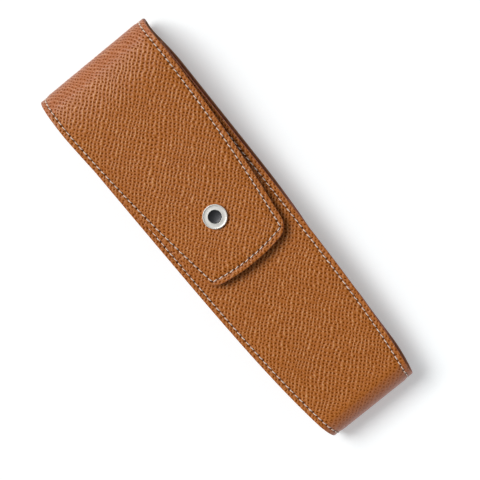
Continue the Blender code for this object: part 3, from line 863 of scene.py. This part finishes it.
def grainTone(add, place, shares):
    # Dark to pale across pits and ridges, worked out from the lattice that the mesh carries, so that a pit
    #  stays round and a ridge thin between the mesh's points. The dark and pale are part dye, part painted shade and
    #  highlight
    lattice = add("Attribute", give="Vector", attribute_name="lattice")
    lift = add("SeparateXYZ", [lattice], give="Z")
    half = add("VectorMath", [lattice, (0.5, 0.5, 0)], operation="ADD")
    part = add("VectorMath", [half], operation="FRACTION")
    off = add("VectorMath", [part, (0.5, 0.5, 0)], operation="SUBTRACT")
    awayX, awayRun = (
        add("VectorMath", [off, (*turn, 0)], operation="DOT_PRODUCT")
        for turn in zip(grain["alongRow"], grain["nextRow"])
    )
    joined = add("CombineXYZ", [awayX, awayRun])
    reach = add("VectorMath", [joined], operation="LENGTH")
    middle, rim = (share * grain["pitRadius"] for share in tones["pitEdge"])
    pits = add("MapRange", [reach, middle, rim, 1, 0], **eased)
    size = add("VectorMath", [off], operation="ABSOLUTE")
    sizes = add("SeparateXYZ", [size]).node.outputs
    foot, top = (0.5 - share * grain["ridgeWidth"] for share in tones["ridgeEdge"])
    lines = []
    for across, along in (("Y", "X"), ("X", "Y")):
        breaks = add("MapRange", [sizes[along], 0, 0.5, tones["ridgeBreak"], -tones["ridgeBreak"]], **eased)
        broken = add("Math", [lift, breaks], operation="ADD")
        crest = add("MapRange", [sizes[across], foot, top], **eased)
        lines.append(add("Math", [crest, broken], operation="MULTIPLY"))
    ridges = add("Mix", {"Factor": shares["Z"], "A": lines[0], "B": lines[1]}, data_type="FLOAT")
    tone = add("Math", [shares["X"], tones["betweenRidges"], tones["flat"]], operation="MULTIPLY_ADD")
    for pattern, share, change in ((ridges, "X", "ridge"), (pits, "Y", "pit")):
        weighed = add("Math", [pattern, shares[share]], operation="MULTIPLY")
        tone = add("Math", [weighed, tones[change], tone], operation="MULTIPLY_ADD")
    # The skin's own uneven uptake of the dye, half a millimetre wide
    speckle = add("TexNoise", {"Vector": place, "Scale": 2.3, "Detail": 2})
    uneven = add("MapRange", [speckle, 0.25, 0.75, -tones["speckle"], tones["speckle"]], **eased)
    return add("Math", [tone, uneven], operation="ADD")


def makePressedCalf():
    # Aniline dyed calf, plated with a diagonal grain: the dye pools dark in the pits and thins on the ridges, and
    #  painted shade deepens the pits and a painted highlight pales the crests. The waxed finish gives a low sheen,
    #  glossier with a cool rim on the two folds that hands rub, and painted sheen and reflection pale those folds
    material, shader, add = startMaterial("pressed_calf", {
        "Roughness": 0.42, "IOR": 1.45, "Sheen Weight": 0.05, "Sheen Roughness": 0.25,
        "Sheen Tint": "#e6cfe0", "Coat Roughness": 0.25, "Coat IOR": 1.45,
    })
    place = add("TexCoord", give="UV")
    hole = add("Attribute", give="Fac", attribute_name="hole")
    facing = add("Attribute", give="Fac", attribute_name="facing")
    amount = add("Attribute", give="Vector", attribute_name="amount")
    shares = add("SeparateXYZ", [amount]).node.outputs
    tone = grainTone(add, place, shares)
    # The ramp's dark end is partly painted shade in the pits, its pale end partly a painted highlight on the crests
    dyeAndPaintedShade = add("ValToRGB", {"Fac": tone}, [
        (0.0, "#5e2900"), (0.2, "#863f06"), (0.42, "#a95d18"), (0.7, "#bf7437"), (0.95, "#dca06a"),
    ])
    cloud = add("TexNoise", {"Vector": place, "Scale": 0.09, "Detail": 3})  # 11 mm wide
    patch = add("ValToRGB", {"Fac": cloud}, [(0.3, "#8f4c08"), (0.7, "#a85f18")])
    skin = add("Mix", {"Factor": 0.2, "A": dyeAndPaintedShade, "B": patch}, data_type="RGBA")
    # Over the folds, most of all over the top end, a painted sheen pales the grain's ridges a little, and a
    #  painted reflection pales the turn of the bottom further, most where it turns furthest
    foldSheenAmount, rimReflectionAmount, rubbed = (
        add("Math", [shares["Z"], overTopEnd, elsewhere], operation="MULTIPLY_ADD")
        for elsewhere, overTopEnd in ((0.13, 0.05), (0.62, -0.60), (0.52, 0.33))
    )
    foldSheenReach = add("MapRange", [facing, 0.9, 0.995, foldSheenAmount, 0], **eased)
    paintedFoldSheen = add("MapRange", [tone, 0.2, 0.5, 0, foldSheenReach])
    rim = add("MapRange", [facing, 0.25, 0.84, rimReflectionAmount, 0])
    # Painted sheen on the folds, painted reflection on the bottom's turn, and painted shade in the stitch holes
    for share, colour in ((paintedFoldSheen, "#ae7c82"), (rim, "#da9788"), (hole, "#1a0a04")):
        skin = add("Mix", {"Factor": share, "A": skin, "B": colour}, data_type="RGBA")
    cavity = add("MapRange", [tone, 0.05, 0.6, 0, 0.4])
    waxed = add("MapRange", [facing, 0.2, rubbed, 0.5, 0.12])
    pores = add("TexNoise", {"Vector": place, "Scale": 4.5, "Detail": 4, "Roughness": 0.6})  # 0.2 mm
    fine = add("Bump", {"Height": pores, "Strength": 0.35, "Distance": 0.00005})
    pressed = add("Bump", {"Height": tone, "Normal": fine, "Strength": 0.5, "Distance": 0.00012})
    feed(shader, {"Base Color": skin, "Specular IOR Level": cavity, "Coat Weight": waxed, "Normal": pressed})
    return material


# Materials with one pattern: what the shader is set to, the pattern, its colours and its relief
finishes = {
    # Edges rubbed down and painted in thin brown coats: darker than the skin, with a dull satin face
    "painted_edge": {
        "surface": {"Roughness": 0.6, "IOR": 1.45, "Specular IOR Level": 0.2},
        "place": "Object", "pattern": ("TexNoise", {"Scale": 900, "Detail": 3}),  # 1.1 mm
        "colours": [(0.35, "#98543e"), (0.7, "#b0684e")], "bump": {"Strength": 0.3, "Distance": 0.00008},
    },
    # Thin vegetable tanned calf, shaved smooth: paler than the outside, matt, with fine pores
    "lining_calf": {
        "surface": {"Roughness": 0.62, "IOR": 1.45, "Sheen Weight": 0.1},
        "place": "UV", "pattern": ("TexNoise", {"Scale": 0.12, "Detail": 4}),  # 8 mm
        "pores": ("TexNoise", {"Scale": 5.5, "Detail": 3}),  # 0.2 mm
        "colours": [(0.3, "#97653f"), (0.7, "#a57146")], "bump": {"Strength": 0.4, "Distance": 0.00004},
    },
    # The outside calf skived thin for the side walls: same dye, grain rolled nearly flat
    "side_calf": {
        "surface": {"Roughness": 0.6, "IOR": 1.45, "Specular IOR Level": 0.3},
        "place": "Object", "pattern": ("TexVoronoi", {"Scale": 850}),  # 1.2 mm
        "colours": [(0.1, "#733c20"), (0.6, "#985632")], "bump": {"Strength": 0.3, "Distance": 0.0001},
    },
    # Waxed linen of three strands: cream, slightly glossy, with the twist running across each dash
    "waxed_linen": {
        "surface": {"Roughness": 0.55, "IOR": 1.5, "Sheen Weight": 0.3},
        "place": "UV", "pattern": ("TexWave", {"Scale": 0.75, "Distortion": 0.4}),  # 0.8 mm
        "settings": {"bands_direction": "DIAGONAL", "give": "Fac"},
        "colours": [(0.1, "#c8ae98"), (0.6, "#f0e0d2")], "bump": {"Strength": 0.6, "Distance": 0.0001},
    },
    # Grey board: pressed paper fibre, dull and uneven
    "grey_board": {
        "surface": {"Roughness": 0.9},
        "place": "Object", "pattern": ("TexNoise", {"Scale": 700, "Detail": 5}),  # 1.4 mm
        "colours": [(0.3, "#77746c"), (0.7, "#928e85")],
    },
}


def makeFinish(name):
    finish = finishes[name]
    material, shader, add = startMaterial(name, finish["surface"])
    place = add("TexCoord", give=finish["place"])
    kind, sizes = finish["pattern"]
    pattern = add(kind, {"Vector": place, **sizes}, **finish.get("settings", {}))
    feed(shader, {"Base Color": add("ValToRGB", {"Fac": pattern}, finish["colours"])})
    if "pores" in finish:
        kind, sizes = finish["pores"]
        pattern = add(kind, {"Vector": place, **sizes})
    if "bump" in finish:
        feed(shader, {"Normal": add("Bump", {"Height": pattern, **finish["bump"]})})
    return material


def makeMetal(name, colour, roughness, wearScale):
    # Turned metal, plated or bare: even colour, with a faint uneven polish from handling, 1 to 2 mm wide
    material, shader, add = startMaterial(name, {"Metallic": 1, "Base Color": colour})
    place = add("TexCoord", give="Object")
    wear = add("TexNoise", {"Vector": place, "Scale": wearScale, "Detail": 3})
    polish = add("MapRange", [wear, 0, 1, roughness * 0.8, roughness * 1.25])
    feed(shader, {"Roughness": polish})
    return material


print("materials")
pressedCalf = makePressedCalf()
paintedEdge, liningCalf, sideCalf, linen, greyBoard = (makeFinish(name) for name in finishes)
plated = makeMetal("plated_ring_metal", "#dedbd5", 0.52, 600)
blackened = makeMetal("blackened_metal", "#48484a", 0.42, 600)
brass = makeMetal("turned_brass", "#d2ae6c", 0.3, 500)
springSteel = makeMetal("drawn_spring_steel", "#8f9297", 0.35, 900)

# What each piece rides on, what it stands for and what it is made of
spineBlend = {"a": "case_body", "b": "spine", "start": (0, 0.0735, 0), "end": (0, 0.0812, 0.0085)}
flapBlend = {"a": "spine", "b": "flap", "start": (0, 0.0822, 0.0115), "end": (0, 0.0705, 0.0230)}
outside = ("calf_leather", [pressedCalf, paintedEdge])
inside = ("lining_leather", [liningCalf, paintedEdge])
pieces = [
    (frontLeather, "case_body", ["outer_wrap"], *outside),
    (backLeather, spineBlend, ["outer_wrap", "spine_outer"], *outside),
    (flapLeather, flapBlend, ["flap_outer"], *outside),
    (frontLining, "case_body", ["lining_wrap"], *inside),
    (backLining, spineBlend, ["lining_wrap", "spine_lining"], *inside),
    (flapLining, flapBlend, ["flap_lining"], *inside),
    (leftWall, "case_body", ["left_gusset"], "calf_leather", [sideCalf]),
    (rightWall, "case_body", ["right_gusset"], "calf_leather", [sideCalf]),
    (divider, "case_body", ["pen_divider"], "lining_leather", [liningCalf]),
    (snapRing, "flap", ["snap_ring"], "plated_ring", [plated]),
    (ringCentre, "flap", ["ring_insert"], "blackened_centre", [blackened]),
    (snapSocket, "flap", ["snap_socket"], "snap_brass", [brass]),
    (snapStud, "case_body", ["snap_stud"], "snap_brass", [brass]),
]
for dashes, carrier in zip(threads, ("case_body", spineBlend, flapBlend) * 2):
    pieces.append((dashes, carrier, [], None, [linen]))
for obj, carrier, standsFor, slot, materials in pieces:
    for material in materials:
        obj.data.materials.append(material)
    if obj in (flapLeather, flapLining):
        boreThrough(obj, paintedEdge)
    if isinstance(carrier, str):
        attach(obj, carrier)
    else:
        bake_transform(obj)
    if standsFor:
        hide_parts(*standsFor)
keptNodes = {
    "front_board": greyBoard, "back_board": greyBoard, "flap_board": greyBoard,
    "stud_post": brass, "socket_spring": springSteel,
}
for name, material in keptNodes.items():
    for materialSlot in bpy.data.objects[name].material_slots:
        materialSlot.material = material


# Camera, floor and light. Angles in degrees, focal length in pixels of the image
view = {
    "distance": 1.1, "tilt": 6.6, "nod": 0.8, "roll": 39.08, "aside": (-0.00172, 0.00351),
    "focal": 2946, "imageWidth": 480, "clipEnd": 20,
}
stage = {"size": 8, "colour": "#e6e8e8", "glow": 0.3, "mirroredGlow": 0.1}
studio = {
    "colour": "#f2f9ff", "walls": 0.76, "ceiling": 0.16, "ceilingFrom": 0.85,
    "lampPlace": (-2.5, 5.3, 8.0), "lampSize": 5.0, "lampPower": 872,
}


def addCamera():
    data = bpy.data.cameras.new("photo_camera")
    data.lens = view["focal"] / view["imageWidth"] * data.sensor_width
    data.clip_end = view["clipEnd"]
    camera = addObject("photo_camera", data)
    turn = Matrix.Identity(3)
    for angle, axis in ((view["roll"], "Z"), (-view["tilt"], "Y"), (view["nod"], "X")):
        turn = turn @ Matrix.Rotation(radians(angle), 3, axis)
    away = Vector((*view["aside"], -view["distance"]))
    camera.matrix_world = Matrix.Translation(-(turn.transposed() @ away)) @ turn.transposed().to_4x4()
    bpy.context.scene.camera = camera


def addStage():
    floor = startPiece("floor", bpy.ops.mesh.primitive_plane_add, size=stage["size"])
    material, shader, add = startMaterial("white_floor", {"Base Color": stage["colour"], "Roughness": 0.9})
    # A little light of its own where the camera, metal or glass sees it, so that it stays white there
    rays = add("LightPath").node.outputs
    shiny = add("Math", [rays["Is Glossy Ray"], rays["Is Transmission Ray"]], operation="MAXIMUM")
    mirrored = add("Math", [shiny, stage["mirroredGlow"]], operation="MULTIPLY")
    seen = add("Math", [rays["Is Camera Ray"], stage["glow"], mirrored], operation="MULTIPLY_ADD")
    glow = add("Emission", {"Strength": seen})
    both = add("AddShader", [shader.outputs[0], glow])
    feed(material.node_tree.nodes["Material Output"], {"Surface": both})
    floor.data.materials.append(material)


def addLights():
    bpy.context.scene.world = world = bpy.data.worlds.new("studio")
    world.use_nodes = True
    add = partial(addNode, world.node_tree)
    # White walls under a dark ceiling, and plain white where the camera sees past the floor
    direction = add("TexCoord", give="Generated")
    height = add("SeparateXYZ", [direction], give="Z")
    room = add("MapRange", [height, 0, studio["ceilingFrom"], studio["walls"], studio["ceiling"]], **eased)
    seen = add("LightPath", give="Is Camera Ray")
    strength = add("Math", [seen, room], operation="MAXIMUM")
    feed(world.node_tree.nodes["Background"], {"Color": studio["colour"], "Strength": strength})
    data = bpy.data.lights.new("key", "AREA")
    data.size = studio["lampSize"]
    data.energy = studio["lampPower"]
    lamp = addObject("key", data)
    lamp.location = studio["lampPlace"]
    lamp.rotation_euler = (-Vector(studio["lampPlace"])).to_track_quat("-Z", "Y").to_euler()


print("camera, floor and light")
addCamera()
addStage()
addLights()
bpy.context.scene.view_settings.view_transform = "Standard"
